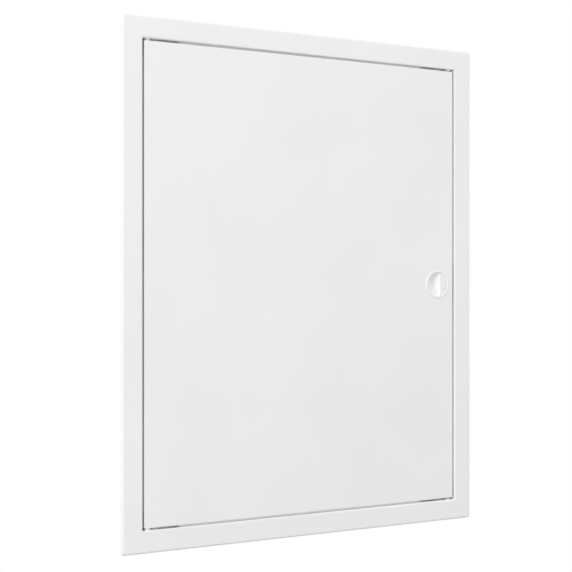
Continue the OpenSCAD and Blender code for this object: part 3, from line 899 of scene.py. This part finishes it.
def powderCoat(name, shadedRimAndPrimedBack):
    material, tree, shader, place = newFinish(name)
    colour = addRamp(tree, addNoise(tree, place, coat["tintScale"], coat["cloudDetail"]), *coat["tint"])
    if shadedRimAndPrimedBack:  # the grey starts just behind the front fold: painted shade on the rim in the gap, and grey primer on the back
        cloud = addNoise(tree, place, coat["rimShadeAndPrimerScale"], coat["cloudDetail"])
        split = tree.nodes.new("ShaderNodeSeparateXYZ")
        tree.links.new(place, split.inputs[0])
        blend = tree.nodes.new("ShaderNodeMix")
        blend.data_type = "RGBA"
        fade = addRange(tree, split.outputs["Y"], 0.0, 1.0, coat["rimShadeFade"])
        tree.links.new(fade, blend.inputs["Factor"])
        tree.links.new(colour, blend.inputs["A"])
        tree.links.new(addRamp(tree, cloud, *coat["rimShadeAndPrimer"]), blend.inputs["B"])
        colour = blend.outputs["Result"]
    tree.links.new(colour, shader.inputs["Base Color"])
    gloss = addNoise(tree, place, coat["roughScale"])
    tree.links.new(addRange(tree, gloss, *coat["rough"]), shader.inputs["Roughness"])
    peel = addGrain(tree, shader, place, coat["peel"])
    addGrain(tree, shader, place, coat["grain"], under=peel)
    shader.inputs["Specular IOR Level"].default_value = coat["shine"]
    return material


# galvanised sheet: zinc crystals a few millimetres across, each with its own shade and gloss
zinc = {"tint": ((0.42, 0.433, 0.445), (0.57, 0.58, 0.59)), "rough": (0.34, 0.56), "crystalScale": 250.0,
        "rippleScale": 380.0, "ripple": 0.002, "grain": (900.0, 3.0, 0.06, 0.00005)}


def galvanisedSheet():
    material, tree, shader, place = newFinish("galvanisedSheet")
    ripple = tree.nodes.new("ShaderNodeTexNoise")
    ripple.inputs["Scale"].default_value = zinc["rippleScale"]
    tree.links.new(place, ripple.inputs["Vector"])
    warp = tree.nodes.new("ShaderNodeVectorMath")  # uneven crystal borders
    warp.operation = "MULTIPLY_ADD"
    warp.inputs[1].default_value = (zinc["ripple"],) * 3
    tree.links.new(ripple.outputs["Color"], warp.inputs[0])
    tree.links.new(place, warp.inputs[2])
    crystal = tree.nodes.new("ShaderNodeTexVoronoi")
    crystal.inputs["Scale"].default_value = zinc["crystalScale"]
    crystal.inputs["Randomness"].default_value = 1.0
    tree.links.new(warp.outputs[0], crystal.inputs["Vector"])
    split = tree.nodes.new("ShaderNodeSeparateColor")
    tree.links.new(crystal.outputs["Color"], split.inputs["Color"])
    whole = (0.0, 1.0)
    tree.links.new(addRamp(tree, split.outputs[0], *zinc["tint"], whole), shader.inputs["Base Color"])
    tree.links.new(addRange(tree, split.outputs[1], *zinc["rough"], whole), shader.inputs["Roughness"])
    addGrain(tree, shader, place, zinc["grain"])
    shader.inputs["Metallic"].default_value = 1.0
    return material


# plain metals and mouldings; what is drawn has its marks stretched along Z
grainedLooks = {
    "plated_steel": {
        "name": "brightZincPlate", "tint": ((0.66, 0.67, 0.70), (0.76, 0.75, 0.71)), "tintScale": 180.0,
        "rough": (0.22, 0.38), "roughScale": 700.0, "roughDetail": 4.0, "roughDrawn": (1.0, 1.0, 0.15),
        "grain": (1500.0, 2.0, 0.05, 0.00003), "grainDrawn": (1.0, 1.0, 0.1), "sockets": {"Metallic": 1.0},
    },
    "rivet_alloy": {
        "name": "rivetAluminium", "tint": ((0.70, 0.71, 0.72), (0.80, 0.80, 0.81)), "tintScale": 400.0,
        "rough": (0.30, 0.46), "roughScale": 1300.0, "grain": (2600.0, 2.0, 0.06, 0.00003),
        "sockets": {"Metallic": 1.0},
    },
    "white_plastic": {
        "name": "whiteMouldedPlastic", "tint": ((0.862, 0.862, 0.858), (0.885, 0.885, 0.882)),
        "tintScale": 70.0, "rough": (0.34, 0.46), "roughScale": 240.0,
        "grain": (4200.0, 2.0, 0.07, 0.00003), "sockets": {},
    },
    "nylon": {
        "name": "naturalNylon", "tint": ((0.83, 0.83, 0.81), (0.87, 0.87, 0.86)), "tintScale": 320.0,
        "rough": (0.40, 0.54), "roughScale": 900.0, "grain": (3000.0, 3.0, 0.05, 0.00003),
        "sockets": {"Subsurface Weight": 0.15, "Subsurface Radius": (0.0012, 0.0010, 0.0008)},
    },
    "grey_plastic": {
        "name": "whiteNutPlastic", "tint": ((0.80, 0.80, 0.79), (0.84, 0.84, 0.83)), "tintScale": 120.0,
        "rough": (0.42, 0.55), "roughScale": 500.0, "grain": (2800.0, 3.0, 0.07, 0.00004), "sockets": {},
    },
    "spring_steel": {
        "name": "oiledSpringSteel", "tint": ((0.34, 0.34, 0.36), (0.50, 0.50, 0.51)), "tintScale": 600.0,
        "rough": (0.26, 0.42), "roughScale": 1800.0, "grain": (4000.0, 3.0, 0.05, 0.00002),
        "sockets": {"Metallic": 1.0},
    },
}


def grainedFinish(look):
    material, tree, shader, place = newFinish(look["name"])
    tint = addRamp(tree, addNoise(tree, place, look["tintScale"]), *look["tint"])
    tree.links.new(tint, shader.inputs["Base Color"])
    detail = look.get("roughDetail", noiseDetail)
    gloss = addNoise(tree, place, look["roughScale"], detail, look.get("roughDrawn"))
    tree.links.new(addRange(tree, gloss, *look["rough"]), shader.inputs["Roughness"])
    addGrain(tree, shader, place, look["grain"], look.get("grainDrawn"))
    for socket, value in look["sockets"].items():
        shader.inputs[socket].default_value = value
    return material


finishes = {slot: grainedFinish(look) for slot, look in grainedLooks.items()}
finishes["white_coat"] = powderCoat("whitePowderCoat", False)
finishes["galvanised"] = galvanisedSheet()


def dress(piece, finish):
    piece.data.materials.clear()
    piece.data.materials.append(finish)


for name, node in nodes.items():
    dress(node, finishes[slotOf(name)])
for piece in [surround, latchRing, latchDisc, latchNut, pinSpring] + softPieces:
    dress(piece, finishes[piece["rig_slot"]])
# the leaf's coat is painted shade on its rim in the gap round the door and grey primer on its back
dress(leaf, powderCoat("whiteCoatShadedRimPrimedBack", True))
print("finishes on", len(finishes), "slots")

# floor: a pale disc below the hung panel that fades into the white surround
floorLook = {"drop": 0.33, "radius": 2.6, "seen": (0.90, 0.90, 0.90, 1), "bounced": (0.40, 0.40, 0.40, 1),
             "fade": (0.35, 1.25)}


def floorFinish():
    material = bpy.data.materials.new("paleFloor")
    material.use_nodes = True
    tree = material.node_tree
    tree.nodes.clear()
    out = tree.nodes.new("ShaderNodeOutputMaterial")
    seen = tree.nodes.new("ShaderNodeBsdfDiffuse")
    seen.inputs["Color"].default_value = floorLook["seen"]
    bounced = tree.nodes.new("ShaderNodeBsdfDiffuse")  # what it throws back up at the panel
    bounced.inputs["Color"].default_value = floorLook["bounced"]
    glow = tree.nodes.new("ShaderNodeEmission")
    place = tree.nodes.new("ShaderNodeTexCoord")
    flat = tree.nodes.new("ShaderNodeVectorMath")
    flat.operation = "MULTIPLY"
    flat.inputs[1].default_value = (1, 1, 0)
    away = tree.nodes.new("ShaderNodeVectorMath")
    away.operation = "LENGTH"
    tree.links.new(place.outputs["Object"], flat.inputs[0])
    tree.links.new(flat.outputs["Vector"], away.inputs[0])
    outwards = addRange(tree, away.outputs["Value"], 0.0, 1.0, floorLook["fade"])
    fading = mixShaders(tree, outwards, seen.outputs[0], glow.outputs[0])
    surface = mixShaders(tree, seenDirectly(tree), bounced.outputs[0], fading)
    tree.links.new(surface, out.inputs["Surface"])
    return material


def addFloor():
    freshStart()
    height = cadBox[0].z - floorLook["drop"]
    bpy.ops.mesh.primitive_circle_add(vertices=roundSides, radius=floorLook["radius"], fill_type="NGON",
                                      location=(0, 0, height))
    floor = bpy.context.object
    floor.name = "paleFloor"
    applyPlace(floor)
    floor.data.materials.append(floorFinish())


addFloor()
print("floor laid")
